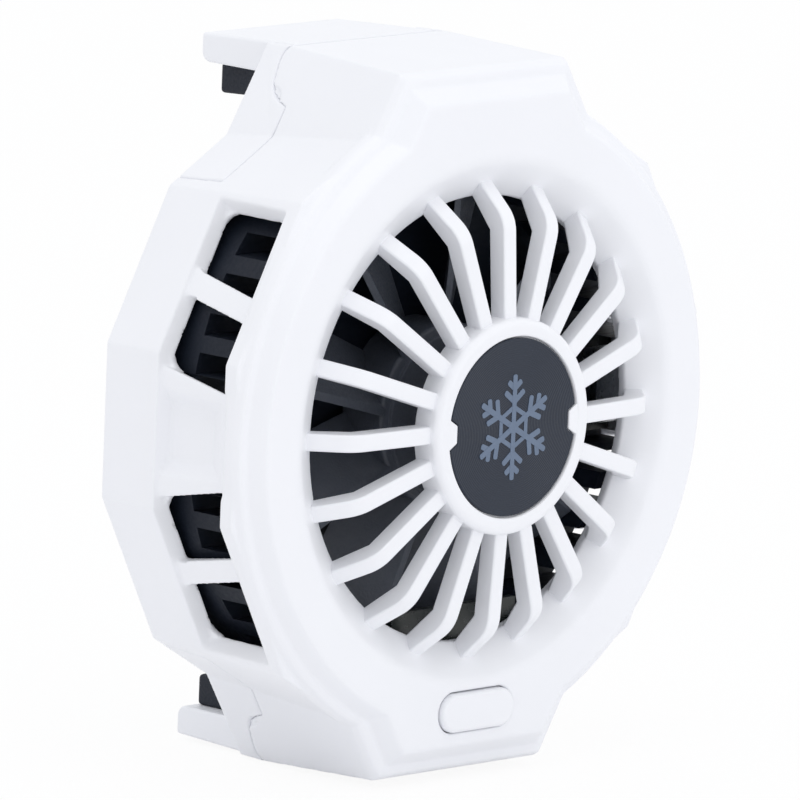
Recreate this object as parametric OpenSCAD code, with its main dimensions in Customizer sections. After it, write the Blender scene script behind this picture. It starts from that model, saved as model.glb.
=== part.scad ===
// Clip-on phone cooling fan: a thermoelectric cooler with a fan, held on a phone by two sprung jaws.
// Each piece is laid out on its back and then stood up. While it lies, X runs across the fan, Y runs
// from the lower jaw to the upper jaw, and Z is the height in front of the face that touches the phone.

/* [Phone grip] */
// Width of the narrowest phone, pad to pad with the jaws closed
grip_min = 66.8; // [62:0.2:72]
// How far each jaw slides out
jaw_travel = 9.5; // [5:0.5:10]
// Length of a jaw behind the contact face
jaw_reach = 10.6; // [8:0.1:14]
// Thickness of a jaw at its free end
jaw_t = 3.3; // [2.6:0.1:4]
// Width of a jaw at its free end
jaw_end_w = 21.7; // [18:0.1:22]
// Width of a jaw where it enters the case
jaw_root_w = 22.6; // [20:0.2:23]
// Thickness of a jaw's slider plate
slide_t = 1.85; // [1.6:0.05:2.4]
// Thickness of a rubber pad
rubber_t = 3.6; // [2.5:0.1:4.5]
// Width of a rubber pad
rubber_w = 18; // [14:0.5:20]
// Length of a rubber pad
rubber_l = 9.9; // [6:0.1:10.5]

/* [Cooling stack] */
// Thickness of the soft thermal pad
pad_t = 0.8; // [0.5:0.1:1.5]
// Side of the cold plate's nose and of the thermal pad
plate_w = 38; // [34:0.5:39]
// Thickness of the cold plate, step included
plate_t = 3.4; // [3:0.1:5]
// Side of the thermoelectric tile
tile_w = 30; // [26:0.5:30.5]
// Thickness of the thermoelectric tile
tile_t = 3.8; // [3:0.1:5]
// Radius of the heat sink
sink_r = 33.8; // [32.5:0.1:36]
// Thickness of the heat sink's base
sink_base_t = 4.6; // [3:0.1:6]
// Height of the fins
fin_h = 7.8; // [6.5:0.1:11]
// Width of the slots between fins
slot_w = 2.4; // [1.5:0.1:3]
// Distance from one slot to the next
slot_pitch = 4.3; // [3.6:0.1:6]

/* [Fan] */
// Radius over the blade tips
impeller_r = 25.3; // [22:0.1:26]
// Number of blades
blade_n = 9; // [5:1:11]
// Blade angle from the plane of rotation
blade_angle = 36; // [30:1:50]
// Blade thickness
blade_t = 1.1; // [0.8:0.1:1.5]
// Radius of the rotor hub
rotor_r = 10.4; // [9.6:0.1:12]
// Radius of the steel shaft
shaft_r = 1; // [0.8:0.05:1.5]

/* [Grille] */
// Number of spokes
spoke_n = 20; // [12:1:24]
// Width of a spoke
spoke_w = 2; // [1.2:0.1:2.6]
// Depth of a spoke
spoke_d = 2.4; // [1.6:0.1:3]
// Radius over the hub ring
hub_r = 12.3; // [11.5:0.1:14]
// How far the hub stands out of the front face
hub_proud = 4.2; // [3:0.1:5]
// Radius of the dark hub disc
disc_r = 10.1; // [8.5:0.1:10.2]
// Thickness of the hub disc
disc_t = 0.6; // [0.4:0.1:1]

/* [Case] */
// Wall thickness of the drum
wall = 1.8; // [1.5:0.1:2.2]
// Thickness of the front face
front_t = 1.6; // [1.2:0.1:2.4]
// Thickness of the back plate
back_t = 1.4; // [1:0.1:2]
// How far the back plate lies in front of the contact face
back_gap = 1; // [0.9:0.05:1.4]
// How much the drum widens from rear to front, on the radius
drum_flare = 1.4; // [0:0.1:2]
// How far the front face stands before the drum's front edge
face_rise = 3; // [2.4:0.1:4]
// Width of a lobe across its top edge
lobe_w = 26.4; // [26:0.2:28]
// How much a lobe's top rises towards the rear
lobe_rise = 1; // [0:0.1:1.5]
// How much a lobe narrows towards the rear, on each side
lobe_draw = 0.5; // [0:0.1:0.6]
// Height of the vent windows along the fan's depth
vent_d = 9.4; // [7:0.1:10]

/* [Button and boards] */
// Width of the power button
button_w = 11.3; // [9:0.1:13]
// Height of the power button
button_h = 4.2; // [3:0.1:5]
// How far the button goes in
button_travel = 0.5; // [0.3:0.05:0.8]
// How far the button stands out of the front face
button_proud = 0.6; // [0.55:0.05:1.2]
// Thickness of the circuit boards
board_t = 1; // [0.8:0.1:1.6]

/* [Fits] */
// Gap around pieces that are fixed together
fit_gap = 0.1; // [0.08:0.01:0.25]
// Gap around the sliding jaws
slide_gap = 0.15; // [0.1:0.01:0.2]
// Radial clearance of the shaft in its sleeve
shaft_gap = 0.03; // [0.02:0.01:0.06]
// Clearance around the turning blades
fan_gap = 1; // [0.6:0.1:1.4]
// Gap around the power button
button_gap = 0.25; // [0.15:0.01:0.35]
// Glue film between round pieces
bond = 0.03; // [0.02:0.01:0.05]

/* [Hidden] */
$fn = 96;
white = "#F3F4F8";
black = "#26282D";
steel = "#B9BEC4";
over = 0.5;

// Heights of the stack, from the contact face forwards
plate_h0 = pad_t;
tile_h0 = plate_h0 + plate_t;
sink_h0 = tile_h0 + tile_t;
fins_h0 = sink_h0 + sink_base_t;
fins_h1 = fins_h0 + fin_h;
air = 0.5;
press_gap = 0.05;
switch_t = 1.1;
plunger_t = 0.2;
flange_t = 0.6;
flange_w = 0.7;
board_h0 = fins_h1 + air;
board_h1 = board_h0 + board_t;
switch_h1 = board_h1 + switch_t;
plunger_h1 = switch_h1 + plunger_t;
button_h0 = plunger_h1 + press_gap + button_travel;
front_in = button_h0 + flange_t + press_gap;
face_h = front_in + front_t;
outline_h = face_h - face_rise;
hub_h1 = face_h + hub_proud;
case_rear = back_gap;
back_h1 = case_rear + back_t;
case_depth = outline_h - case_rear;
lip_h0 = board_h1 + 0.2;

// Jaws, their slider plates and the cover that traps them
slide_h0 = back_h1 + slide_gap;
slide_h1 = slide_h0 + slide_t;
cover_h0 = slide_h1 + slide_gap;
cover_h1 = sink_h0 - 2;
jaw_under = grip_min / 2 + rubber_t;
jaw_proud = 0.3;
lobe_z = jaw_under + jaw_t - jaw_proud;
slide_w = 21;
slide_z0 = tile_w / 2 + 1.2;
spring_r = 0.95;
spring_air = 0.65;
spring_x = tile_w / 2 + spring_air + spring_r;
ear_h = 2.5;
ear_w = 2 * (spring_x + 1.4);
post_z = 2;
post_w = 2.6;

// Drum: flat sides at these directions from the X axis, each this far from the axis
drum_rear = sink_r + 0.1 + wall;
drum_front = drum_rear + drum_flare;
side_a = 27.7;
shoulder_a = 60;
drum_top = lobe_z - 7;
far = 60;

// Front ring: outer edge, step line, chamfer, flat face and dish
ring_r = drum_front + 0.4;
face_in = 3.8;
rim = [[-1.3, 0], [-0.3, 0], [0, 0.06], [0.25, 0.18], [0.75, 0.45], [0.9, 0.62], [0.96, 0.85], [1.1, 1.65],
       [1.16, 1.8], [1.3, 1.92], [2.72, 3.12], [2.88, 3.3], [2.97, 3.52], [3, 3.8]];
ring_share = 0.78;
dish_r = impeller_r;
dish_rim_r = dish_r + 4.3;
dish_h = outline_h + 0.1;
disc_sink = 0.2;
disc_h0 = hub_h1 - disc_sink - disc_t;
tab_l = 1.1;
tab_w = 3;

// Lobes: the sides lean in by this much for each millimetre of height
lobe_lean = 0.587;
lobe_a = atan(lobe_lean);
lobe_root = lobe_w / 2 + 7;

// Seam between the shells on the sides of the lobes, as [from the lobe's top, from the slide cover's rear]
wing_x = 25.3;
wing_z = lobe_z - 13.6;
seam = [[-5.5, 3.45], [-5.4, 2.95], [-5.1, 1.95], [-4.8, 1.15], [-4.3, 0.55], [-3.4, 0.05], [-1.3, -0.4],
        [-0.4, -0.45], [0.1, -0.3], [0.6, 0.1], [1.3, 0.95], [4, 1.6]];
seam_dent = [[-5, 2.2], [-5, 0], [-3.4, -0.6], [-3.4, 0.5], [-3.6, 1.4], [-4.1, 1.9]];

// Side vents
vent_h1 = outline_h - 2.9;
vent_h0 = vent_h1 - vent_d;
vent_lean = 0.56;
vent_edge = vent_h0 - wall * vent_lean;
vent_top = 8.7;
vent_tilt = 4;
bar_inset = 0.6;
pocket_d = 1.7;
pocket_floor = 3;

// Screws, and the posts and bosses that hold them
screw_r = 0.7;
pilot_r = screw_r + 0.05;
pass_r = screw_r + 0.25;
head_r = 1.75;
head_t = 0.5;
sunk_r = head_r + 0.15;
post_size = 2.1;
post_a = 53;
post_r = sink_r - post_size - 0.5;
boss_size = 2.8;
boss_r = drum_rear - boss_size - 0.1;
boss_a = (side_a + shoulder_a) / 2;
cover_boss = 2.2;
cover_x = 26;
cover_z = 8;
peg_r = 0.7;
peg_x = 7.6;
peg_z = lobe_z - 11.5;
button_z = -(lobe_z - 7.15);

// Charging socket in the right-hand pocket
socket_w = 8.9;
socket_t = 3.2;
socket_h = fins_h0 + board_t + socket_t / 2;
socket_floor = socket_w / 2 + 0.3;
socket_x = drum_rear + drum_flare * (vent_h0 - case_rear) / case_depth - pocket_d;
socket_air = 1.1;
socket_l = socket_x - impeller_r - fan_gap - socket_air;
socket_seat = 1.7;

// Motor: bearing tube on a flange, four-pole core, and the rotor's magnet in its steel ring
tube_r = shaft_r + 2.2;
tube_wall = 1;
tube_foot = 0.8;
cup = 0.5;
flange_h = fins_h0 + tube_foot;
motor_h = flange_h + board_t;
core_r = rotor_r - 3.2;
core_h0 = motor_h + 0.3;
core_t = 2.4;
core_hub = 1.2;
core_rim = 1;
arm_w = 1.8;
hub_wall = 1;
yoke_t = 0.4;
magnet_t = 1.2;
rotor_h0 = motor_h + 0.2;
rotor_h1 = fins_h1 - 1.2;
blade_h0 = fins_h0 + 0.8;
blade_h1 = fins_h1 - 0.4;

// Distance of the drum's sides from the axis at a height
function apothem(h) = drum_rear + drum_flare * (h - case_rear) / case_depth;
// Share of the way from the drum's front edge to its rear edge
function rearward(h) = (outline_h - h) / case_depth;
// Height of a lobe's top at a depth
function lobe_top(h) = lobe_z + lobe_rise * rearward(h);
// Distance of a lobe's leaning sides from the axis at a depth
function lobe_side(h) = (lobe_w / 2 - lobe_draw * rearward(h) + lobe_z * lobe_lean) * cos(lobe_a);
// Closed outline through [distance, height] points and their mirror images
function two_sided(p) = concat(p, [for (i = [len(p) - 1 : -1 : 0]) [-p[i][0], p[i][1]]]);
// Direction of a line as a length of one
function unit(v) = v / norm(v);
// Points of a rounded corner between two lines, from a distance before it to the same distance after it
function rounded(a, corner, b, d) = [for (t = [0 : 0.2 : 1])
  corner + d * ((1 - t) * (1 - t) * unit(a - corner) + t * t * unit(b - corner))];
// A four-cornered window outline, wider or narrower at its front edge
function window(a0, a1, b0, b1, h0, h1) = [[a0, h0], [a1, h0], [b1, h1], [b0, h1]];

// Stands a piece up, front to -Y
module stand() {
  rotate([90, 0, 0]) children();
}

// Repeats a piece on the lower side
module both_ends() {
  children();
  mirror([0, 1, 0]) children();
}

// Repeats a piece on the left side
module both_sides() {
  children();
  mirror([1, 0, 0]) children();
}

// Extrudes an outline of [Y, height] points across the fan
module across(w) {
  rotate([90, 0, 90]) linear_extrude(height = w, center = true) children();
}

// Turns an outline of [along, height, outward] so that outward points at an angle from X
module outward(angle) {
  rotate([0, 0, angle]) rotate([90, 0, 90]) children();
}

// Solid through a stack of outlines, each [height, points]
module loft(sections) {
  n = len(sections[0][1]);
  m = len(sections);
  points = [for (s = sections) for (p = s[1]) [p[0], p[1], s[0]]];
  sides = [for (k = [0 : m - 2]) for (i = [0 : n - 1])
             let (j = (i + 1) % n, a = k * n, b = a + n)
             each [[a + i, b + i, b + j], [a + i, b + j, a + j]]];
  foot = [for (i = [0 : n - 1]) i];
  roof = [for (i = [n - 1 : -1 : 0]) (m - 1) * n + i];
  polyhedron(points, concat([foot], sides, [roof]));
}

// Pill shape with round ends
module pill(w, h, t) {
  translate([-(w - h) / 2, -h / 2, 0]) cube([w - h, h, t]);
  for (s = [-1, 1]) translate([s * (w - h) / 2, 0, 0]) cylinder(h = t, d = h);
}

// Pair of opposite flat sides, from a profile of [distance, height] points
module flat_pair(angle, profile) {
  rotate([0, 0, angle]) rotate([90, 0, 0]) linear_extrude(height = 2 * far, center = true)
    polygon(two_sided(profile));
}

// Flat-sided drum, drawn in by an inset
module drum(inset, h0, h1) {
  profile = [for (h = [h0, h1]) [apothem(h) - inset, h]];
  intersection() {
    for_all_sides(profile);
    translate([-far, -drum_top, h0]) cube([2 * far, 2 * drum_top, h1 - h0]);
  }
}

// The five pairs of flat sides of the drum
module for_all_sides(profile) {
  intersection() {
    flat_pair(0, profile);
    flat_pair(side_a, profile);
    flat_pair(-side_a, profile);
    flat_pair(shoulder_a, profile);
    flat_pair(-shoulder_a, profile);
  }
}

// Both lobes, from levels of [height, inset]
module lobes(levels) {
  sides = [for (v = levels) [lobe_side(min(v[0], outline_h)) - v[1], v[0]]];
  tops = [for (v = levels) [lobe_top(min(v[0], outline_h)) - v[1], v[0]]];
  half = lobe_root - levels[0][1];
  intersection() {
    flat_pair(lobe_a, sides);
    flat_pair(-lobe_a, sides);
    flat_pair(90, tops);
    translate([-half, -far, -far]) cube([2 * half, 2 * far, 2 * far]);
  }
}

// Drum and lobes together, drawn in by an inset
module case_block(inset, h0, h1) {
  drum(inset, h0, h1);
  lobes([[h0, inset], [h1, inset]]);
}

// Part of the lobes and shoulders that belongs to the rear shell, grown by a gap
module wing_zone(gap) {
  lift = cover_h0 + gap;
  high = lobe_z + gap;
  both_ends() across(2 * (wing_x + gap)) polygon(concat(
    [[wing_z - gap, -over], [wing_z - gap, seam[0][1] + lift]],
    [for (v = seam) [high + v[0], v[1] + lift]],
    [[high + seam[len(seam) - 1][0], -over]]));
}

// Small recess beside the bend of the seam, which slopes into the wall
module seam_recess() {
  low = cover_h0 - 0.7;
  high = cover_h0 + 2.4;
  difference() {
    both_ends() across(2 * far) polygon([for (v = seam_dent) [lobe_z + v[0], cover_h0 + v[1]]]);
    lobes([[low, 0.05], [high, 0.5]]);
  }
}

// Space between the wings in which a jaw slides
module jaw_way() {
  half = jaw_root_w / 2 + slide_gap;
  z0 = jaw_under - slide_gap;
  both_ends() translate([-half, z0, -over]) cube([2 * half, lobe_z, cover_h0 + over]);
}

// Levels of the front rim, each [height, inset], squeezed to the rise of the face
function rim_levels() = [for (v = rim) [outline_h + v[0] * (v[0] > 0 ? face_rise / 3 : 1), v[1]]];

// Front ring turned from one profile, still solid behind
module ring_block() {
  levels = rim_levels();
  rotate_extrude() polygon(concat(
    [[0, levels[0][0]]], [for (v = levels) [ring_r - ring_share * v[1], v[0]]], [[0, face_h]]));
}

// Fronts of the lobes with the same rim
module lobe_fronts() {
  lobes(rim_levels());
}

// Hollow behind the front ring and the lobes, with the dish wall left standing
module ring_hollow() {
  lip_r = dish_r + 0.8;
  lip_run = 1.45 * (front_in - lip_h0);
  low = lip_h0 - over;
  difference() {
    union() {
      translate([0, 0, low]) cylinder(h = front_in - low, r = ring_r - face_in - 0.7);
      lobes([[low, face_in], [front_in, face_in]]);
    }
    rotate_extrude() polygon([
      [0, low - over], [lip_r, low - over], [lip_r, lip_h0], [lip_r + lip_run, front_in],
      [lip_r + lip_run, front_in + over], [0, front_in + over]]);
  }
}

// Bowl of the grille, with a rounded rim
module dish_cut() {
  lean = (dish_rim_r - dish_r) / (face_h - dish_h);
  edge = 0.55;
  rotate_extrude() polygon([
    [0, lip_h0 - 1], [dish_r, lip_h0 - 1], [dish_r, dish_h], [dish_rim_r - edge * lean, face_h - edge],
    [dish_rim_r - 0.42, face_h - 0.31], [dish_rim_r, face_h - 0.14], [dish_rim_r + 0.45, face_h - 0.04],
    [dish_rim_r + 1, face_h], [dish_rim_r + 1, face_h + 1], [0, face_h + 1]]);
}

// Straight vent through the wall, from its [from, to] along the side at the rear and at the front
module vent(angle, ap, rear, front) {
  outward(angle) translate([0, 0, ap - wall - 3]) linear_extrude(height = wall + 5)
    polygon(window(rear[0], rear[1], front[0], front[1], vent_h0, vent_h1));
}

// Cut along one flat side, from an outline of [outward, height]
module side_cut(angle, a0, a1) {
  rotate([0, 0, angle]) rotate([90, 0, 0]) translate([0, 0, -a1])
    linear_extrude(height = a1 - a0) children();
}

// Outline of the space in front of a vent's sloping rear wall, up to a height
module vent_slope(top) {
  ap = apothem(vent_h0);
  polygon([[ap - wall, vent_h0], [ap + 1, vent_edge - vent_lean], [ap + 1, top], [ap - wall, top]]);
}

// Outline of the shallow trough in which the bars between vents lie
module vent_trough() {
  ap = apothem(vent_h0);
  front = vent_h1 + 0.8;
  polygon([[ap - bar_inset, vent_edge + bar_inset * vent_lean], [ap + 1, vent_edge - vent_lean],
           [ap + 1, front], [ap - bar_inset, front]]);
}

// Space under the sloping upper end of the vents on the slanted side
module vent_end() {
  ap = apothem(vent_h0);
  slope = 0.65;
  rotate([0, 0, side_a]) translate([0, vent_top, vent_h0]) rotate([vent_tilt, 0, 0])
    linear_extrude(height = 2 * far, center = true)
      polygon([[ap - wall, -far], [ap + 1, -far], [ap + 1, slope * (wall + 1)], [ap - wall, 0]]);
}

// Space under the sloping upper wall of a side pocket
module pocket_end(half, slope) {
  ap = apothem(vent_h0);
  rotate([vent_tilt, 0, 0]) linear_extrude(height = 2 * far, center = true)
    polygon([[ap - pocket_d, -far], [ap + 1, -far], [ap + 1, half + slope * (pocket_d + 1)],
             [ap - pocket_d, half]]);
}

// Pocket in the middle of a side, with four sloping walls, from half the height of its floor
module side_pocket(half, slope) {
  ap = apothem(vent_h0);
  floor_r = ap - pocket_d;
  intersection() {
    translate([0, 0, (vent_h0 + vent_h1) / 2]) intersection() {
      pocket_end(half, slope);
      mirror([0, 1, 0]) pocket_end(half, slope);
    }
    rotate([90, 0, 0]) linear_extrude(height = 2 * far, center = true)
      polygon([[floor_r, vent_h0], [ap + 1, vent_edge - vent_lean], [ap + 1, vent_h1 + 1.5],
               [ap, vent_h1 + 0.6], [floor_r, vent_h1 - 2.8]]);
  }
}

// Wall behind the floor of a side pocket, from half the height of the floor
module pocket_back(half) {
  x0 = apothem(vent_h0) - pocket_d - 1.5;
  reach = half + 1.2;
  translate([x0, -reach, vent_edge - 0.5]) cube([2.4, 2 * reach, vent_h1 - vent_edge + 1.5]);
}

// All vents of one side
module side_vents() {
  ap = apothem(vent_h0);
  corner = ap * tan(side_a / 2);
  low = vent_h0 + 1;
  both_ends() {
    vent(side_a, ap, [1.3, vent_top], [-0.75, vent_top - vent_d * tan(vent_tilt)]);
    vent(side_a / 2, ap / cos(side_a / 2), [-1.4, 6.7], [-3.2, 4.8]);
    intersection() {
      union() {
        side_cut(side_a, 1.5, far) vent_slope(low);
        side_cut(side_a, vent_top - 1, far) vent_slope(vent_h1);
        side_cut(side_a, -corner - 0.4, far) vent_trough();
      }
      vent_end();
    }
    side_cut(side_a, -corner - 0.3, -1.8) vent_slope(low);
    side_cut(0, corner - 1.7, corner + 0.3) vent_slope(low);
  }
  side_cut(0, -corner - 0.4, corner + 0.4) vent_trough();
}

// Bent spokes of the grille, rounded at the bend in front
module spokes() {
  top = hub_h1 - 1.1;
  root = [hub_r - 0.8, top];
  bend = [dish_r - 1.83, top - 0.79];
  foot = [dish_r + 2, dish_h + 1];
  for (i = [0 : spoke_n - 1]) rotate([0, 0, i * 360 / spoke_n])
    rotate([90, 0, 0]) linear_extrude(height = spoke_w, center = true) polygon(concat(
      [root], rounded(root, bend, foot, 1.6), [foot],
      [[dish_r + 2, dish_h + 0.1], [dish_r + 0.1, dish_h - 0.15], [dish_r - 3.4, top - 0.75 - spoke_d],
       [hub_r - 0.8, top - spoke_d]]));
}

// Hub ring with its floor and the two tabs that key the disc
module hub() {
  edge = 0.9;
  rotate_extrude() polygon(concat(
    [[0, disc_h0 - 1.2], [hub_r - 2, disc_h0 - 1.2], [hub_r - 2, hub_h1 - 3.8], [hub_r, hub_h1 - 3.8]],
    [for (a = [0 : 18 : 90]) [hub_r - edge + edge * cos(a), hub_h1 - edge + edge * sin(a)]],
    [[disc_r + 0.45, hub_h1], [disc_r + 0.28, hub_h1 - 0.08], [disc_r + 0.2, hub_h1 - 0.25],
     [disc_r + 0.2, disc_h0], [0, disc_h0]]));
  both_sides() translate([0, 0, disc_h0 - over])
    linear_extrude(height = disc_t + over + disc_sink / 2) tab_outline(0);
}

// Outline of a tab that keys the disc, wider at its root, grown by a gap
module tab_outline(gap) {
  tip = tab_w / 2 - 0.5 + gap;
  root = tab_w / 2 + 0.7 + gap;
  polygon([[disc_r - tab_l - gap, -tip], [disc_r + 0.8, -root], [disc_r + 0.8, root],
           [disc_r - tab_l - gap, tip]]);
}

// Screw posts under the front ring, for the heat sink
module sink_posts(r, h0, h1) {
  for (sx = [-1, 1], sz = [-1, 1])
    translate([sx * post_r * cos(post_a), sz * post_r * sin(post_a), h0]) cylinder(h = h1 - h0, r = r);
}

// Places of the case screws, in the corners of the drum
module case_bosses(r, h0, h1) {
  for (sx = [-1, 1], sz = [-1, 1])
    translate([sx * boss_r * cos(boss_a), sz * boss_r * sin(boss_a), h0]) cylinder(h = h1 - h0, r = r);
}

// Places of the screws that hold the slide cover
module cover_bosses(r, h0, h1) {
  for (sx = [-1, 1], sz = [-1, 1])
    translate([sx * cover_x, sz * cover_z, h0]) cylinder(h = h1 - h0, r = r);
}

// Pegs that carry the control board
module board_pegs(r, h0, h1) {
  both_sides() translate([peg_x, -peg_z, h0]) cylinder(h = h1 - h0, r = r);
}

// Room for the button's flange behind the front, from a size of the button
function flange_room(size) = size + 2 * (flange_w + button_gap);

// Turns a piece so that its height points from the socket's mouth inwards
module into_socket() {
  translate([socket_x, 0, socket_h]) rotate([0, -90, 0]) rotate([0, 0, 90]) children();
}

module front_shell() {
  color(white) stand() {
    difference() {
      union() {
        difference() {
          union() {
            case_block(0, case_rear, outline_h);
            ring_block();
            lobe_fronts();
          }
          case_block(wall, case_rear - over, lip_h0);
          ring_hollow();
          dish_cut();
        }
        pocket_back(socket_floor);
        mirror([1, 0, 0]) pocket_back(pocket_floor);
        sink_posts(post_size, fins_h0, front_in + over);
        case_bosses(boss_size, back_h1, sink_h0 - 0.4);
        board_pegs(peg_r + 0.9, board_h1, front_in + over);
        board_pegs(peg_r, board_h0, board_h1 + over);
      }
      wing_zone(fit_gap);
      jaw_way();
      seam_recess();
      both_sides() side_vents();
      side_pocket(socket_floor, 0.6);
      mirror([1, 0, 0]) side_pocket(pocket_floor, 1.45);
      translate([0, button_z, front_in - over])
        pill(button_w + 2 * button_gap, button_h + 2 * button_gap, front_t + 2 * over);
      translate([0, button_z, lip_h0])
        pill(flange_room(button_w), flange_room(button_h), front_in - lip_h0);
      sink_posts(pilot_r, fins_h0 - over, fins_h0 + fin_h - 0.5);
      case_bosses(pilot_r, back_h1 - over, sink_h0 - 1);
      into_socket() translate([0, 0, -pocket_d - over])
        pill(socket_w + 2 * fit_gap, socket_t + 2 * fit_gap, socket_l);
    }
    spokes();
    hub();
  }
}

module rear_shell() {
  plate_gap = plate_w + 2 * fit_gap;
  color(white) stand() difference() {
    union() {
      intersection() {
        case_block(wall + fit_gap, case_rear, outline_h);
        translate([-far, -far, case_rear]) cube([2 * far, 2 * far, back_t]);
      }
      intersection() {
        difference() {
          case_block(0, case_rear, outline_h);
          case_block(wall, back_h1, outline_h + over);
        }
        wing_zone(0);
      }
      cover_bosses(cover_boss, back_h1 - over, cover_h0);
    }
    jaw_way();
    translate([-plate_gap / 2, -plate_gap / 2, case_rear - over])
      cube([plate_gap, plate_gap, back_t + 2 * over]);
    case_bosses(pass_r, case_rear - over, back_h1 + over);
    case_bosses(sunk_r, case_rear - over, case_rear + head_t + 0.1);
    cover_bosses(pilot_r, back_h1 - over, cover_h0 + over);
  }
}

module hub_disc() {
  color(black) stand() translate([0, 0, disc_h0]) difference() {
    cylinder(h = disc_t, r = disc_r);
    both_sides() translate([0, 0, -over]) linear_extrude(height = disc_t + 2 * over) tab_outline(fit_gap);
  }
}

module power_button() {
  color(white) stand() translate([0, button_z, 0]) {
    translate([0, 0, button_h0]) pill(button_w + 2 * flange_w, button_h + 2 * flange_w, flange_t);
    translate([0, 0, button_h0]) pill(button_w, button_h, face_h + button_proud - button_h0);
  }
}

module tact_switch() {
  switch_w = 6;
  switch_l = 3.6;
  color(steel) stand() translate([0, button_z, 0]) {
    translate([-switch_w / 2, -switch_l / 2, board_h1]) cube([switch_w, switch_l, switch_h1 - board_h1]);
    translate([0, 0, switch_h1 - 0.1]) cylinder(h = plunger_h1 - switch_h1 + 0.1, r = 0.9);
  }
}

module control_board() {
  board_w = 20;
  board_z0 = -(lobe_z - 3.4);
  board_z1 = -(impeller_r - 3.8);
  color("#1E2422") stand() difference() {
    translate([-board_w / 2, board_z0, board_h0]) cube([board_w, board_z1 - board_z0, board_t]);
    board_pegs(peg_r + fit_gap, board_h0 - over, board_h1 + over);
  }
}

// Slab that holds the phone, with the plate that slides inside the case
module jaw() {
  end_h = -jaw_reach;
  top0 = jaw_under + jaw_t;
  top1 = lobe_top(slide_h1);
  ear_half = ear_w / 2;
  color(white) stand() {
    loft([[end_h, slab(jaw_end_w / 2 - 0.3, jaw_under + 1.3, top0 - 0.3)],
          [end_h + 0.2, slab(jaw_end_w / 2, jaw_under + 0.7, top0)],
          [end_h + 0.6, slab(jaw_end_w / 2, jaw_under + 0.25, top0)],
          [end_h + 1.3, slab(jaw_end_w / 2, jaw_under, top0)],
          [slide_h1, slab(jaw_root_w / 2, jaw_under, top1)]]);
    translate([-slide_w / 2, slide_z0, slide_h0]) cube([slide_w, jaw_under - slide_z0 + 1, slide_t]);
    translate([-ear_half, slide_z0, slide_h0]) cube([ear_w, ear_h, slide_t]);
  }
}

// Cross outline of a jaw's slab
function slab(half, z0, z1) = [[-half, z0], [half, z0], [half, z1], [-half, z1]];

module upper_jaw() {
  jaw();
}

module lower_jaw() {
  mirror([0, 0, 1]) jaw();
}

// Rubber pad with a rounded lip, glued under the slab
module grip_pad() {
  pad_h1 = back_gap - 0.4;
  color(black) stand() loft([
    [pad_h1 - rubber_l, slab(rubber_w / 2 - 0.4, jaw_under - rubber_t + 0.6, jaw_under)],
    [pad_h1 - rubber_l + 0.6, slab(rubber_w / 2, jaw_under - rubber_t, jaw_under)],
    [pad_h1 - 0.6, slab(rubber_w / 2, jaw_under - rubber_t, jaw_under)],
    [pad_h1, slab(rubber_w / 2 - 0.4, jaw_under - rubber_t + 0.6, jaw_under)]]);
}

module upper_pad() {
  grip_pad();
}

module lower_pad() {
  mirror([0, 0, 1]) grip_pad();
}

// Close-wound return springs, from the fixed posts to the ears of a slider
module jaw_springs() {
  wire = 0.35;
  color(steel) stand() both_sides()
    translate([spring_x, post_z, (slide_h0 + slide_h1) / 2]) rotate([-90, 0, 0]) difference() {
      cylinder(h = slide_z0 - post_z, r = spring_r);
      translate([0, 0, -over]) cylinder(h = slide_z0 - post_z + 2 * over, r = spring_r - wire);
    }
}

module upper_springs() {
  jaw_springs();
}

module lower_springs() {
  mirror([0, 0, 1]) jaw_springs();
}

module slide_cover() {
  open_w = tile_w + 0.8;
  post_x = open_w / 2;
  color(black) stand() difference() {
    union() {
      translate([0, 0, cover_h0]) cylinder(h = cover_h1 - cover_h0, r = drum_rear - wall - 0.5);
      both_sides() translate([post_x, -post_z, slide_h0])
        cube([post_w, 2 * post_z, cover_h0 - slide_h0 + over]);
    }
    translate([-open_w / 2, -open_w / 2, cover_h0 - over]) cube([open_w, open_w, cover_h1]);
    case_bosses(boss_size + 0.3, cover_h0 - over, cover_h1 + over);
    cover_bosses(pass_r, cover_h0 - over, cover_h1 + over);
  }
}

module thermal_pad() {
  color("#8FA3B8") stand() translate([-plate_w / 2, -plate_w / 2, 0]) cube([plate_w, plate_w, pad_t]);
}

module cold_plate() {
  nose_t = back_h1 - plate_h0;
  color(steel) stand() {
    translate([-plate_w / 2, -plate_w / 2, plate_h0]) cube([plate_w, plate_w, nose_t]);
    translate([-tile_w / 2, -tile_w / 2, plate_h0]) cube([tile_w, tile_w, plate_t]);
  }
}

module thermoelectric_tile() {
  plate = 0.8;
  edge = 1;
  color("#E9E6DE") stand() {
    for (h = [tile_h0, sink_h0 - plate])
      translate([-tile_w / 2, -tile_w / 2, h]) cube([tile_w, tile_w, plate]);
    translate([-tile_w / 2 + edge, -tile_w / 2 + edge, tile_h0])
      cube([tile_w - 2 * edge, tile_w - 2 * edge, tile_t]);
  }
}

module heat_sink() {
  slot_n = floor(sink_r / slot_pitch);
  bay = 13;
  color(black) stand() difference() {
    translate([0, 0, sink_h0]) cylinder(h = fins_h1 - sink_h0, r = sink_r);
    translate([0, 0, fins_h0]) cylinder(h = fin_h + over, r = impeller_r + fan_gap);
    both_ends() for (k = [0 : slot_n - 1])
      translate([-far, (k + 0.8) * slot_pitch - slot_w / 2, fins_h0]) cube([2 * far, slot_w, fin_h + over]);
    both_sides() {
      translate([impeller_r - 1, -bay / 2, fins_h0]) cube([far, bay, fin_h + over]);
      translate([socket_x - socket_seat, -bay / 2, sink_h0 - over]) cube([far, bay, far]);
    }
    sink_posts(post_size + 0.4, fins_h0, fins_h1 + over);
    sink_posts(pass_r, sink_h0 - over, fins_h0 + over);
    sink_posts(sunk_r, sink_h0 - over, sink_h0 + 1);
  }
}

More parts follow.
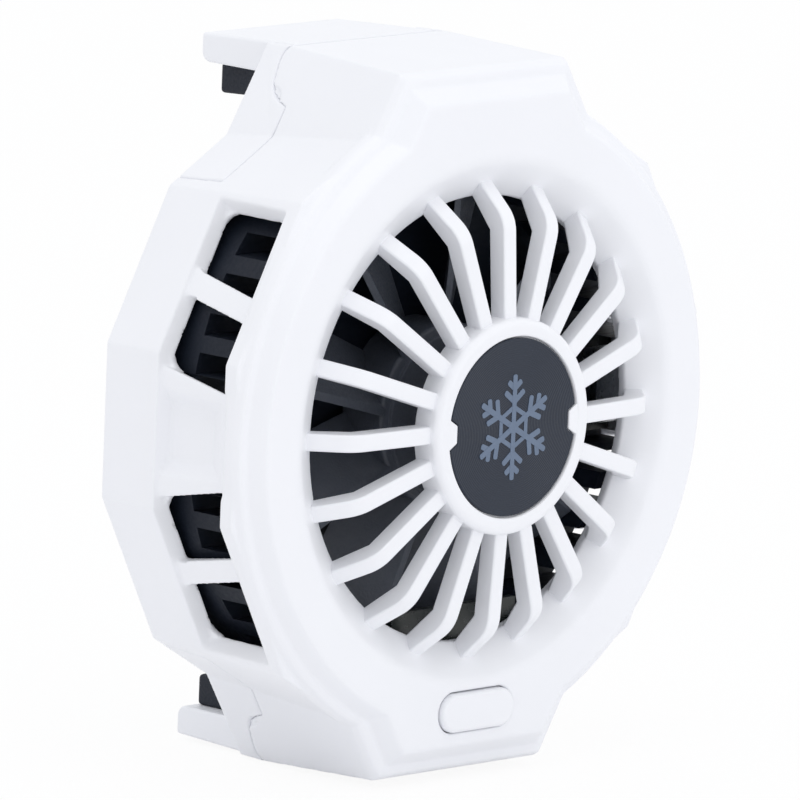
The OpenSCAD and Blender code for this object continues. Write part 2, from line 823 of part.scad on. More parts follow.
module motor_base() {
  color(black) stand() rotate_extrude() polygon([
    [0, fins_h0], [rotor_r - 1.5, fins_h0], [rotor_r - 1.5, flange_h], [tube_r, flange_h],
    [tube_r, fins_h1 - 2.2], [tube_r - tube_wall, fins_h1 - 2.2], [tube_r - tube_wall, fins_h0 + cup],
    [0, fins_h0 + cup]]);
}

module bearing_sleeve() {
  out_r = tube_r - tube_wall - bond;
  color("#B08D57") stand() rotate_extrude() polygon([
    [shaft_r + shaft_gap, fins_h0 + cup], [out_r, fins_h0 + cup], [out_r, fins_h1 - 2.4],
    [shaft_r + shaft_gap, fins_h1 - 2.4]]);
}

module motor_board() {
  color("#2F5D3A") stand() translate([0, 0, flange_h]) difference() {
    cylinder(h = board_t, r = rotor_r - 1.6);
    translate([0, 0, -over]) cylinder(h = board_t + 2 * over, r = tube_r + fit_gap);
  }
}

module stator_core() {
  slit = 1.6;
  color(steel) stand() translate([0, 0, core_h0]) difference() {
    union() {
      cylinder(h = core_t, r = tube_r + core_hub);
      for (k = [0 : 3]) rotate([0, 0, 90 * k])
        translate([0, -arm_w / 2, 0]) cube([core_r - core_rim / 2, arm_w, core_t]);
      difference() {
        cylinder(h = core_t, r = core_r);
        translate([0, 0, -over]) cylinder(h = core_t + 2 * over, r = core_r - core_rim);
        for (k = [0 : 3]) rotate([0, 0, 90 * k + 45])
          translate([0, -slit / 2, -over]) cube([core_r + over, slit, core_t + 2 * over]);
      }
    }
    translate([0, 0, -over]) cylinder(h = core_t + 2 * over, r = tube_r + bond);
  }
}

module stator_windings() {
  coil = 0.9;
  turn = 0.25;
  coil_air = 0.12;
  x0 = tube_r + core_hub + coil_air;
  x1 = sqrt(pow(core_r - core_rim, 2) - pow(arm_w / 2 + coil, 2)) - coil_air;
  color("#B5713A") stand() for (k = [0 : 3]) rotate([0, 0, 90 * k])
    translate([x0, 0, core_h0]) difference() {
      translate([0, -arm_w / 2 - coil, -turn]) cube([x1 - x0, arm_w + 2 * coil, core_t + 2 * turn]);
      translate([-over, -arm_w / 2, 0]) cube([x1 - x0 + 2 * over, arm_w, core_t]);
    }
}

module shaft() {
  foot = fins_h0 + cup + press_gap;
  color(steel) stand() translate([0, 0, foot]) cylinder(h = fins_h1 - 1 - foot, r = shaft_r);
}

module magnet_ring() {
  out_r = rotor_r - hub_wall - yoke_t - bond;
  color("#4A4A4E") stand() translate([0, 0, rotor_h0]) difference() {
    cylinder(h = rotor_h1 - rotor_h0, r = out_r);
    translate([0, 0, -over]) cylinder(h = far, r = out_r - magnet_t);
  }
}

module rotor_yoke() {
  color(steel) stand() translate([0, 0, rotor_h0]) difference() {
    cylinder(h = rotor_h1 - rotor_h0, r = rotor_r - hub_wall - bond);
    translate([0, 0, -over]) cylinder(h = far, r = rotor_r - hub_wall - yoke_t);
  }
}

module impeller() {
  chord = 2 * (blade_h1 - blade_h0) / sin(blade_angle);
  neck_h = rotor_h1 - 1.2;
  neck_r = shaft_r + 1.2;
  bore_r = shaft_r + bond;
  edge = 0.9;
  color(black) stand() {
    rotate_extrude() polygon([
      [bore_r, neck_h], [neck_r, neck_h], [neck_r, rotor_h1], [rotor_r - hub_wall, rotor_h1],
      [rotor_r - hub_wall, blade_h0], [rotor_r, blade_h0], [rotor_r, blade_h1 - edge],
      [rotor_r - edge, blade_h1], [bore_r, blade_h1]]);
    intersection() {
      translate([0, 0, blade_h0]) difference() {
        cylinder(h = blade_h1 - blade_h0, r = impeller_r);
        translate([0, 0, -over]) cylinder(h = far, r = rotor_r - hub_wall / 2);
      }
      for (k = [0 : blade_n - 1]) rotate([0, 0, k * 360 / blade_n])
        translate([0, 0, (blade_h0 + blade_h1) / 2]) rotate([blade_angle, 0, 0])
          translate([rotor_r - 3, -chord / 2, -blade_t / 2]) cube([impeller_r, chord, blade_t]);
    }
  }
}

module socket_board() {
  x0 = impeller_r + fan_gap + 0.3;
  board_w = 11.2;
  color("#1E2422") stand() translate([x0, -board_w / 2, fins_h0])
    cube([socket_x - socket_seat - x0, board_w, board_t]);
}

module charging_socket() {
  shell = 0.35;
  tongue_w = 6.6;
  tongue_t = 0.7;
  color(steel) stand() into_socket() {
    difference() {
      pill(socket_w, socket_t, socket_l);
      translate([0, 0, -over]) pill(socket_w - 2 * shell, socket_t - 2 * shell, socket_l - 1 + over);
    }
    translate([-tongue_w / 2, -tongue_t / 2, 1]) cube([tongue_w, tongue_t, socket_l - 1.5]);
  }
}

module case_screws() {
  h0 = case_rear + 0.1;
  color(steel) stand() {
    case_bosses(head_r, h0, h0 + head_t);
    case_bosses(screw_r, h0, sink_h0 - 1.5);
  }
}

module sink_screws() {
  h0 = sink_h0 + 0.1;
  color(steel) stand() {
    sink_posts(head_r, h0, sink_h0 + 1);
    sink_posts(screw_r, h0, fins_h0 + 5);
  }
}

module cover_screws() {
  color(steel) stand() {
    cover_bosses(head_r, cover_h1, cover_h1 + 0.8);
    cover_bosses(screw_r, back_h1, cover_h1 + 0.8);
  }
}

front_shell();
rear_shell();
hub_disc();
power_button();
tact_switch();
control_board();
upper_jaw();
upper_pad();
upper_springs();
lower_jaw();
lower_pad();
lower_springs();
slide_cover();
thermal_pad();
cold_plate();
thermoelectric_tile();
heat_sink();
motor_base();
bearing_sleeve();
motor_board();
stator_core();
stator_windings();
shaft();
magnet_ring();
rotor_yoke();
impeller();
socket_board();
charging_socket();
case_screws();
sink_screws();
cover_screws();
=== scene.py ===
import math

import bmesh
import bpy
from mathutils import Matrix, Vector


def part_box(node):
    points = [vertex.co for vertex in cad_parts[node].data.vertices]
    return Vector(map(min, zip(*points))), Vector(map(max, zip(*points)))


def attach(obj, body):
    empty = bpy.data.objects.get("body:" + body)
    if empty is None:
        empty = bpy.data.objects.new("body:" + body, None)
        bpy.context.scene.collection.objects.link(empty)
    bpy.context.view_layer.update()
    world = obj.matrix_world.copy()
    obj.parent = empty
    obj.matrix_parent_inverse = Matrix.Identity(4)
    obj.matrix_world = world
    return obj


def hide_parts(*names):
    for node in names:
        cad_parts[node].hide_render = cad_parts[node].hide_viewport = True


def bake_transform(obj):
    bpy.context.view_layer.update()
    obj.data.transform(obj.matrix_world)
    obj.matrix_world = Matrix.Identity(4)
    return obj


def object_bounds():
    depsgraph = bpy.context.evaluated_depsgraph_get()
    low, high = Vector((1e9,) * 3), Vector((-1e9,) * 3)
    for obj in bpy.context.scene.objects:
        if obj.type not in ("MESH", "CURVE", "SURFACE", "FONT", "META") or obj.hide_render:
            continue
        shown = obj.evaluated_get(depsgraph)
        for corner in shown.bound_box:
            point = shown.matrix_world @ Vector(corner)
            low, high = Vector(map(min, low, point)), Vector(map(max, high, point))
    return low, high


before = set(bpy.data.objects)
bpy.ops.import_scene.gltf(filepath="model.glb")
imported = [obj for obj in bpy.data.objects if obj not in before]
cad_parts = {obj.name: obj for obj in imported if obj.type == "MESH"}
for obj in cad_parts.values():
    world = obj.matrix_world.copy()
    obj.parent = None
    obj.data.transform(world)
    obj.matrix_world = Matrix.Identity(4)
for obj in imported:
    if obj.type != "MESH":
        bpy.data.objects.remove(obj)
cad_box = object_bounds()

# Heat sink: a round block of aluminium, sawn into straight fins with a round pocket for the fan, then
# anodised black. It is the heart of the cooler, and everything else is screwed or glued to it.
mm = 0.001


def linear(code):
    """Linear colour of an sRGB hex code."""
    shares = [int(code[i:i + 2], 16) / 255 for i in (1, 3, 5)]
    return [s / 12.92 if s <= 0.04045 else ((s + 0.055) / 1.055) ** 2.4 for s in shares] + [1]


def add_node(tree, kind, inputs, **settings):
    """Adds a node with its settings; an input is a value or another node's output."""
    node = tree.nodes.new("ShaderNode" + kind)
    for name, value in settings.items():
        setattr(node, name, value)
    for name, value in inputs.items():
        if isinstance(value, bpy.types.NodeSocket):
            tree.links.new(value, node.inputs[name])
        else:
            node.inputs[name].default_value = value
    return node


def new_finish(name, colours, patch, rough, grain, depth, stretch=(1, 1, 1), **sockets):
    """A material with patches of two colours and a grained surface; patch, grain and depth are in mm."""
    finish = bpy.data.materials.new(name)
    finish.use_nodes = True
    tree = finish.node_tree
    shader = tree.nodes["Principled BSDF"]
    for socket, value in sockets.items():
        shader.inputs[socket].default_value = value
    place = add_node(tree, "TexCoord", {}).outputs["Object"]
    place = add_node(tree, "Mapping", {"Vector": place, "Scale": stretch}).outputs["Vector"]
    patches = add_node(tree, "TexNoise", {"Vector": place, "Scale": 1 / (patch * mm), "Detail": 3})
    grains = add_node(tree, "TexNoise", {"Vector": place, "Scale": 1 / (grain * mm), "Detail": 2})
    tint = add_node(tree, "Mix", {0: patches.outputs["Fac"], 6: linear(colours[0]), 7: linear(colours[1])},
                    data_type="RGBA")
    sheen = add_node(tree, "MapRange", {"Value": grains.outputs["Fac"], "From Min": 0.3, "From Max": 0.7,
                                        "To Min": rough[0], "To Max": rough[1]})
    relief = add_node(tree, "Bump", {"Height": grains.outputs["Fac"], "Distance": depth * mm})
    tree.links.new(tint.outputs[2], shader.inputs["Base Color"])
    tree.links.new(sheen.outputs["Result"], shader.inputs["Roughness"])
    tree.links.new(relief.outputs["Normal"], shader.inputs["Normal"])
    return finish


def dress(finish, *nodes):
    """Gives CAD nodes a finish."""
    for node in nodes:
        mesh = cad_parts[node].data
        mesh.materials.clear()
        mesh.materials.append(finish)


# Anodised aluminium: blue-black and dull, with a faint sheen along the saw marks of the fins.
anodised = new_finish("black_anodised_aluminium", ("#121824", "#19202D"), patch=9, rough=(0.5, 0.66),
                      grain=0.4, depth=0.01, stretch=(0.15, 1, 1), IOR=1.38)
dress(anodised, "heat_sink")

# Thermoelectric tile: two thin ceramic plates with rows of semiconductor blocks between them, soldered
# up and sealed round the edge. It is clamped between the heat sink and the cold plate.
# Alumina: cream white and matt, with a fine even grain.
alumina = new_finish("alumina_ceramic", ("#E4E0D6", "#EFECE5"), patch=6, rough=(0.45, 0.6), grain=0.3,
                     depth=0.006, IOR=1.7)
dress(alumina, "thermoelectric_tile")

# Cold plate: a stepped block milled from aluminium, left bare. Its nose comes out through the back and
# carries the thermal pad.
# Milled aluminium: bright, with fine tool lines across it.
milled = new_finish("milled_aluminium", ("#C4C7CB", "#D3D6D9"), patch=8, rough=(0.26, 0.4), grain=0.35,
                    depth=0.008, stretch=(1, 1, 0.04), Metallic=1)
dress(milled, "cold_plate")


# Thermal pad: a soft sheet of filled silicone stuck on the cold plate's nose, cut with a knife, so that
# its edges are a little round. It touches the back of the phone.
crease_angle, face_weight = math.radians(38), 80


def finish_piece(name, bm, finishes, slot, body, *nodes):
    """Makes a piece from a bmesh, rides it on a body and lets it stand for CAD nodes."""
    mesh = bpy.data.meshes.new(name)
    bm.to_mesh(mesh)
    bm.free()
    for finish in finishes:
        mesh.materials.append(finish)
    mesh.shade_smooth()
    mesh.set_sharp_from_angle(angle=crease_angle)
    piece = bpy.data.objects.new(name, mesh)
    bpy.context.scene.collection.objects.link(piece)
    even = piece.modifiers.new("even_shading", "WEIGHTED_NORMAL")
    even.keep_sharp = True
    even.weight = face_weight
    if nodes:
        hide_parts(*nodes)
    if body:
        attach(piece, body)
    return piece


def add_block(bm, low, high):
    """Adds a block between two corners, in metres, and gives its edges."""
    low, high = Vector(low), Vector(high)
    size = Matrix.Diagonal((*(high - low), 1))
    verts = bmesh.ops.create_cube(bm, size=1, matrix=Matrix.Translation((low + high) / 2) @ size)["verts"]
    return list({edge for vert in verts for edge in vert.link_edges})


def soften(bm, edges, radius, segments=3):
    """Rounds edges to a radius in metres."""
    bmesh.ops.bevel(bm, geom=edges, offset=radius, offset_type="OFFSET", segments=segments, profile=0.5,
                    affect="EDGES", clamp_overlap=False, loop_slide=True, material=-1)


# Filled silicone: a dull grey-blue that gives off hardly any gloss, with soft dimples.
silicone = new_finish("filled_silicone", ("#8496A8", "#97A8B8"), patch=4, rough=(0.55, 0.75), grain=0.5,
                      depth=0.03, IOR=1.42)
sheet_edge = 0.25
bm = bmesh.new()
soften(bm, add_block(bm, *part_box("thermal_pad")), sheet_edge * mm)
finish_piece("thermal_pad_sheet", bm, [silicone], "thermal_silicone", "case", "thermal_pad")

# Fan motor: a moulded foot with a bearing tube, a bronze sleeve pressed into it, a small ring board, and
# a stack of steel plates with four arms. The steel shaft turns in the sleeve.
# Glass-filled nylon: dark grey and half matt, with a sparkle of short fibres at the surface.
nylon = new_finish("glass_filled_nylon", ("#3F444F", "#50555F"), patch=5, rough=(0.4, 0.62), grain=0.28,
                   depth=0.04, IOR=1.53)
# Sintered bronze: a dull gold with fine pores that hold oil.
bronze = new_finish("sintered_bronze", ("#9C7A4C", "#B18D5C"), patch=2, rough=(0.35, 0.55), grain=0.2,
                    depth=0.01, Metallic=1)
# Green solder mask: a thin glossy lacquer over glass cloth.
green_mask = new_finish("green_solder_mask", ("#23502F", "#2C5F39"), patch=3, rough=(0.25, 0.4), grain=0.5,
                        depth=0.01, IOR=1.5)
# Zinc-plated steel: cool and bright, a little cloudy.
steel = new_finish("zinc_plated_steel", ("#AEB3B9", "#C2C6CB"), patch=3, rough=(0.24, 0.4), grain=0.3,
                   depth=0.005, Metallic=1)
dress(nylon, "motor_base")
dress(bronze, "bearing_sleeve")
dress(green_mask, "motor_board")
dress(steel, "stator_core", "shaft", "rotor_yoke")


# Motor coils: enamelled copper wire, a quarter of a millimetre thick, wound on the four arms of the core
# before it is pressed on its tube.
def verts_in(geom):
    """The vertices among the pieces of geometry that an operator gives back."""
    return [item for item in geom if isinstance(item, bmesh.types.BMVert)]


def repeat_round(bm, count):
    """Copies a mesh evenly round the fan's axis."""
    first = bm.verts[:] + bm.edges[:] + bm.faces[:]
    for k in range(1, count):
        more = bmesh.ops.duplicate(bm, geom=first)["geom"]
        bmesh.ops.rotate(bm, cent=(0, 0, 0), matrix=Matrix.Rotation(math.tau * k / count, 3, "Y"),
                         verts=verts_in(more))


def wind_wire(bm, start, axis, middle, pitch, turns, wire_r, steps):
    """Winds a round wire about a line, from a first cross-section; the lengths are in metres."""
    across = Vector(axis).cross(Vector(start) - Vector(middle)).normalized()
    stand = across.to_track_quat("Z", "Y").to_matrix().to_4x4()
    ring = bmesh.ops.create_circle(bm, segments=8, radius=wire_r, matrix=Matrix.Translation(start) @ stand)
    edges = list({edge for vert in ring["verts"] for edge in vert.link_edges})
    bmesh.ops.spin(bm, geom=ring["verts"] + edges, cent=middle, axis=axis, angle=math.tau * turns,
                   steps=steps * turns, dvec=Vector(axis) * (pitch / steps))
    bmesh.ops.holes_fill(bm, edges=bm.edges, sides=8)
    bmesh.ops.recalc_face_normals(bm, faces=bm.faces)


# Enamelled copper: orange-brown wire under clear lacquer.
copper = new_finish("enamelled_copper", ("#A8622E", "#BC7840"), patch=1.5, rough=(0.22, 0.34), grain=0.3,
                    depth=0.004, Metallic=0.9)
arm_n, coil_turns, coil_wire = 4, 5, 0.12
coil_h = 15.9
coil_x0, coil_x1 = 4.64, 5.69
coil_half_w, coil_half_t = 1.68, 1.33
coil_pitch = (coil_x1 - coil_x0) / coil_turns
first, middle = Vector((coil_x0, coil_half_t - coil_h, 0)), Vector((coil_x0, -coil_h, 0))
bm = bmesh.new()
wind_wire(bm, first * mm, (1, 0, 0), middle * mm, coil_pitch * mm, coil_turns, coil_wire * mm, steps=20)
bmesh.ops.scale(bm, vec=(1, 1, coil_half_w / coil_half_t), verts=bm.verts)
repeat_round(bm, arm_n)
finish_piece("motor_coils", bm, [copper], "copper_wire", "case", "stator_windings")

# Rotor magnet: a moulded ring of ferrite, glued into a rolled steel ring inside the impeller's hub. It
# turns round the coils.
# Ferrite: dark grey and dry, like fired clay.
ferrite = new_finish("ferrite", ("#35353A", "#424247"), patch=2, rough=(0.6, 0.8), grain=0.25, depth=0.01)
dress(ferrite, "magnet_ring")


# Impeller: one moulding of black nylon with nine broad, twisted blades on a cup-shaped hub. It is pressed
# on the shaft and carries the magnet and its steel ring inside.
def turn_outline(bm, outline, steps):
    """Turns a closed outline of (radius, height) points, in mm, round the fan's axis."""
    verts = [bm.verts.new((r * mm, -h * mm, 0)) for r, h in outline]
    edges = [bm.edges.new(pair) for pair in zip(verts, verts[1:] + verts[:1])]
    bmesh.ops.spin(bm, geom=verts + edges, cent=(0, 0, 0), axis=(0, 1, 0), angle=math.tau, steps=steps,
                   use_merge=True)


blade_n, blade_t, blade_edge = 9, 1.1, 0.3
blade_r0, blade_r1 = 9.9, 25.1
blade_h0, blade_h1 = 13.45, 19.95
blade_pitch0, blade_pitch1 = 43, 33
blade_camber, blade_room = 0.6, 0.7 * blade_t
blade_rise = blade_h1 - blade_h0 - blade_room
rim_angle = math.radians(50)
# Outline of the cup: the boss at its bore, the inside, the open rim, the rounded shoulder and the front.
cup = [(1.03, 18.0), (2.2, 18.0), (2.2, 19.2), (9.4, 19.2), (9.4, 13.4), (10.4, 13.4),
       (10.4, 19.0), (10.32, 19.25), (10.15, 19.42), (9.9, 19.52), (9.45, 19.56), (9.36, 19.6),
       (9.32, 19.7), (9.28, 19.88), (9.16, 19.97), (9.0, 20.0), (1.03, 20.0)]
bm = bmesh.new()
bmesh.ops.create_grid(bm, x_segments=18, y_segments=10, size=0.5)
for vert in bm.verts:
    out, across = vert.co.x + 0.5, vert.co.y
    r = blade_r0 + (blade_r1 - blade_r0) * out
    pitch = math.radians(blade_pitch0 + (blade_pitch1 - blade_pitch0) * out)
    h = (blade_h0 + blade_h1) / 2 + across * blade_rise - blade_camber * (1 - 4 * across ** 2)
    angle = across * blade_rise / math.tan(pitch) / r
    vert.co = Vector((r * math.cos(angle), -h, r * math.sin(angle))) * mm
bmesh.ops.solidify(bm, geom=bm.faces[:], thickness=blade_t * mm)
for vert in bm.verts:
    vert.co.y = min(max(vert.co.y, -blade_h1 * mm), -blade_h0 * mm)
bmesh.ops.recalc_face_normals(bm, faces=bm.faces)
rims = [edge for edge in bm.edges if edge.calc_face_angle(0) > rim_angle]
soften(bm, rims, blade_edge * mm, segments=2)
repeat_round(bm, blade_n)
turn_outline(bm, cup, steps=96)
bmesh.ops.recalc_face_normals(bm, faces=bm.faces)
finish_piece("impeller_moulding", bm, [nylon], "black_plastic", "rotor", "impeller")

# Circuit boards: black boards for the button and for the charging socket, and the small push switch that
# stands behind the button.
# Black solder mask: a glossy lacquer, with the weave of the glass cloth faintly under it.
black_mask = new_finish("black_solder_mask", ("#141A18", "#1C2321"), patch=3, rough=(0.25, 0.4), grain=0.5,
                        depth=0.01, IOR=1.5)
dress(black_mask, "control_board", "socket_board")
dress(steel, "tact_switch")


# Front shell: one moulding of white ABS with the drum, its vents, the front ring, the grille and its hub.
# The tool's corners were rounded, so every edge is soft. Screws hold it to the back and to the sink. The
# grille needs finer edges than the drum, so it is cut out of the copy here and made in the next section.
same_place, flat_angle = 0.002 * mm, math.radians(0.8)


def copy_of(node):
    """A merged copy of a CAD node's mesh, with its flat faces joined up."""
    bm = bmesh.new()
    bm.from_mesh(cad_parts[node].data)
    bmesh.ops.remove_doubles(bm, verts=bm.verts, dist=same_place)
    bmesh.ops.dissolve_limit(bm, angle_limit=flat_angle, verts=bm.verts, edges=bm.edges)
    return bm


def finish_moulding(name, bm, finish, body, node, cell, passes, share):
    """A copy of a CAD node with all its edges rounded: small even faces, smoothed, then thinned out."""
    mesh = bpy.data.meshes.new(name)
    bm.to_mesh(mesh)
    bm.free()
    mesh.materials.append(finish)
    mesh.shade_smooth()
    piece = bpy.data.objects.new(name, mesh)
    bpy.context.scene.collection.objects.link(piece)
    cells = piece.modifiers.new("small_faces", "REMESH")
    cells.mode = "VOXEL"
    cells.voxel_size = cell * mm
    cells.use_smooth_shade = True
    rounding = piece.modifiers.new("rounding", "SMOOTH")
    rounding.factor = 0.5
    rounding.iterations = passes
    thinning = piece.modifiers.new("fewer_faces", "DECIMATE")
    thinning.ratio = share
    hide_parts(node)
    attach(piece, body)


def depth_in_dish(place):
    """How far a place lies inside the wall of the dish, in mm; below zero is outside it or behind it."""
    x, y, z = place / mm
    if -y < dish_h - dish_back:
        return -1
    return dish_r + dish_lean * max(-y - dish_h, 0) - math.hypot(x, z)


def bend_line(corner, start, end):
    """Points of a smooth bend that replaces a corner, from a start to an end beside it."""
    steps = [k / 8 for k in range(9)]
    return [corner + (1 - t) ** 2 * (start - corner) + t ** 2 * (end - corner) for t in steps]


def add_prism(bm, outline, shift):
    """A prism from a flat outline of points, drawn out along a vector; in metres."""
    face = bm.faces.new([bm.verts.new(point) for point in outline])
    more = bmesh.ops.extrude_face_region(bm, geom=[face])["geom"]
    bmesh.ops.translate(bm, vec=shift, verts=verts_in(more))
    bmesh.ops.recalc_face_normals(bm, faces=bm.faces)


def join(bm, other):
    """Adds another bmesh to one, and frees it."""
    mesh = bpy.data.meshes.new("joined")
    other.to_mesh(mesh)
    other.free()
    bm.from_mesh(mesh)
    bpy.data.meshes.remove(mesh)


# Moulded ABS: a cool white with a half-matt skin, taken from a finely blasted tool.
abs_white = new_finish("moulded_white_abs", ("#F2F3F7", "#F6F7FB"), patch=14, rough=(0.36, 0.44),
                       grain=0.35, depth=0.003, IOR=1.5)
dish_r, dish_h, dish_lean, dish_back = 25.3, 23.1, 4.3 / 2.9, 2
well_inside, slack = 0.2, 0.1
bm = copy_of("front_shell")
grille = [face for face in bm.faces if depth_in_dish(face.calc_center_median()) > well_inside
          and all(depth_in_dish(vert.co) > -slack for vert in face.verts)]
bmesh.ops.delete(bm, geom=grille, context="FACES")
bmesh.ops.holes_fill(bm, edges=[edge for edge in bm.edges if edge.is_boundary], sides=0)

# The rear corners of the vents are blended, the same on both sides. Each has the angle of its side, its
# place along that side, its way into the vent, and how far the end of the vent leans.
vent_r, vent_h = 34.52, 10.7
upper_corner, lower_corner = (27.7, 8.7, -1, -0.07), (0, 7.25, 1, -0.19)
blend_r, web, sunk, tuck = 1.2, 0.35, 0.4, 0.15
corners = bmesh.new()
for angle, place, inward, lean in (upper_corner, lower_corner):
    out = Vector((math.cos(math.radians(angle)), 0, math.sin(math.radians(angle))))
    along = Vector((-out.z, 0, out.x))
    start, end = Vector((inward * blend_r, -tuck)), Vector((lean * blend_r - inward * tuck, blend_r))
    outline = [*bend_line(Vector((0, 0)), start, end), (end.x - inward * (sunk - tuck), blend_r),
               (-inward * sunk, -sunk), (start.x, -sunk)]
    inside = out * (vent_r - web)
    points = [inside + along * (place + a) - Vector((0, vent_h + h, 0)) for a, h in outline]
    add_prism(corners, [point * mm for point in points], out * (web + sunk) * mm)
for axis in ("X", "Z"):
    everything = corners.verts[:] + corners.edges[:] + corners.faces[:]
    bmesh.ops.mirror(corners, geom=everything, merge_dist=-1, axis=axis)
bmesh.ops.recalc_face_normals(corners, faces=corners.faces)
join(bm, corners)
finish_moulding("front_shell_moulding", bm, abs_white, "case", "front_shell",
                cell=0.18, passes=8, share=0.14)

# Grille: twenty bent spokes between the dish and the hub, part of the front moulding. The spokes are round
# in front at the bend and sharp behind it, and the hub has a rounded rim and two tabs that key the disc.
spoke_n, spoke_w, spoke_edge = 20, 2, 0.28
root, bend, foot = Vector((11.5, 29.1)), Vector((23.47, 28.31)), Vector((27.3, 24.1))
bend_l = 1.6
behind = [(27.3, 23.2), (25.4, 22.95), (21.9, 25.95), (11.5, 26.7)]
hub_r, hub_wall, hub_edge, hub_chamfer = 12.3, 2, 0.9, 0.2
hub_h0, hub_floor, hub_h1 = 26.4, 28.2, 30.2
disc_r, disc_h0, disc_h1 = 10.1, 29.4, 30.0
seat_r = disc_r + 0.2
tab = [(9.0, -1.0), (10.9, -2.2), (10.9, 2.2), (9.0, 1.0)]
tab_t, tab_edge = 0.7, 0.15
touch = 0.01 * mm
curve = bend_line(bend, bend + bend_l * (root - bend).normalized(),
                  bend + bend_l * (foot - bend).normalized())
bm = bmesh.new()
add_prism(bm, [Vector((x, -h, -spoke_w / 2)) * mm for x, h in (root, *curve, foot, *behind)],
          (0, 0, spoke_w * mm))
long_edges = [edge for edge in bm.edges if abs(edge.verts[0].co.z - edge.verts[1].co.z) < touch]
soften(bm, long_edges, spoke_edge * mm)
repeat_round(bm, spoke_n)
arc = [(hub_r - hub_edge + hub_edge * math.cos(t), hub_h1 - hub_edge + hub_edge * math.sin(t))
       for t in (math.pi / 2 * k / 8 for k in range(9))]
turn_outline(bm, [(0, hub_floor), (hub_r - hub_wall, hub_floor), (hub_r - hub_wall, hub_h0),
                  (hub_r - hub_chamfer, hub_h0), (hub_r, hub_h0 + hub_chamfer), *arc,
                  (seat_r + 0.25, hub_h1), (seat_r + 0.08, hub_h1 - 0.08), (seat_r, hub_h1 - 0.25),
                  (seat_r, disc_h0), (0, disc_h0)], steps=128)
bmesh.ops.remove_doubles(bm, verts=bm.verts, dist=same_place)
bmesh.ops.recalc_face_normals(bm, faces=bm.faces)
tabs = bmesh.new()
add_prism(tabs, [Vector((x, -disc_h0, z)) * mm for x, z in tab], (0, -tab_t * mm, 0))
soften(tabs, tabs.edges[:], tab_edge * mm)
repeat_round(tabs, 2)
join(bm, tabs)
finish_piece("grille_moulding", bm, [abs_white], "white_abs", "case", "front_shell")

# Hub disc: a printed film on a thin black plate, pressed into the hub between its two white tabs. A snow
# crystal, as a plain sign for cold, is printed on it in thick grey ink.
# Printed film: dark blue-grey with fine rings round the middle that catch the light.
film = new_finish("printed_film", ("#212836", "#262E3C"), patch=5, rough=(0.3, 0.42), grain=0.3,
                  depth=0.004, IOR=1.38)
# Blender's ring pattern goes through 20 radians in each unit of its scale.
groove_w, groove_d, ring_rate = 0.25, 0.02, 20
tree = film.node_tree
place = add_node(tree, "TexCoord", {}).outputs["Object"]
rings = add_node(tree, "TexWave", {"Vector": place, "Scale": math.tau / ring_rate / (groove_w * mm)},
                 wave_type="RINGS", rings_direction="Y")
relief = add_node(tree, "Bump", {"Height": rings.outputs["Fac"], "Distance": groove_d * mm,
                                 "Normal": tree.nodes["Bump"].outputs["Normal"]})
tree.links.new(relief.outputs["Normal"], tree.nodes["Principled BSDF"].inputs["Normal"])
disc_edge, sharp_angle = 0.12, 1
bm = copy_of("hub_disc")
front = [edge for edge in bm.edges if all(abs(vert.co.y + disc_h1 * mm) < touch for vert in edge.verts)
         and edge.calc_face_angle(0) > sharp_angle]
soften(bm, front, disc_edge * mm, segments=2)
finish_piece("hub_disc_film", bm, [film], "hub_label", "case", "hub_disc")


def add_stroke(bm, start, angle, length, width, thick):
    """One stroke of the crystal, from a place on an upright stem, at an angle to it; in mm and degrees."""
    size = Matrix.Diagonal((width * mm, 2 * thick * mm, length * mm, 1))
    turn = Matrix.Rotation(math.radians(angle), 4, "Y")
    stand = Matrix.Translation((0, -disc_h1 * mm, start * mm)) @ turn
    bmesh.ops.create_cube(bm, size=1, matrix=stand @ Matrix.Translation((0, 0, length / 2 * mm)) @ size)


# Screen ink: a mid grey-blue layer a few hundredths thick, with a soft satin face.
ink = new_finish("screen_ink", ("#66748A", "#6F7E94"), patch=2, rough=(0.45, 0.6), grain=0.2, depth=0.004,
                 IOR=1.38)
stem_l0, stem_l1, stem_w, stem_t = 0.3, 6, 0.66, 0.07
branch_angle, branches = 52, ((2.9, 1.95, 0.06), (4.4, 1.35, 0.05))
heart_angle, heart_l, heart_w, heart_t = 120, 2.3, 0.8 * stem_w, 0.04
stroke_edge = 0.24
middle_r, middle_t = 0.85, stem_t + 0.015
bm = bmesh.new()
add_stroke(bm, stem_l0, 0, stem_l1 - stem_l0, stem_w, stem_t)
for side in (-1, 1):
    for start, length, thick in branches:
        add_stroke(bm, start, side * branch_angle, length, stem_w, thick)
add_stroke(bm, heart_l, heart_angle, heart_l, heart_w, heart_t)
upright = [edge for edge in bm.edges if abs(edge.verts[0].co.y - edge.verts[1].co.y) > heart_t * mm]
soften(bm, upright, stroke_edge * mm, segments=4)
repeat_round(bm, 6)
stand = Matrix.Translation((0, -disc_h1 * mm, 0)) @ Matrix.Rotation(math.pi / 2, 4, "X")
bmesh.ops.create_cone(bm, cap_ends=True, segments=6, radius1=middle_r * mm, radius2=middle_r * mm,
                      depth=2 * middle_t * mm, matrix=stand)
finish_piece("snow_crystal", bm, [ink], "hub_label", "case")


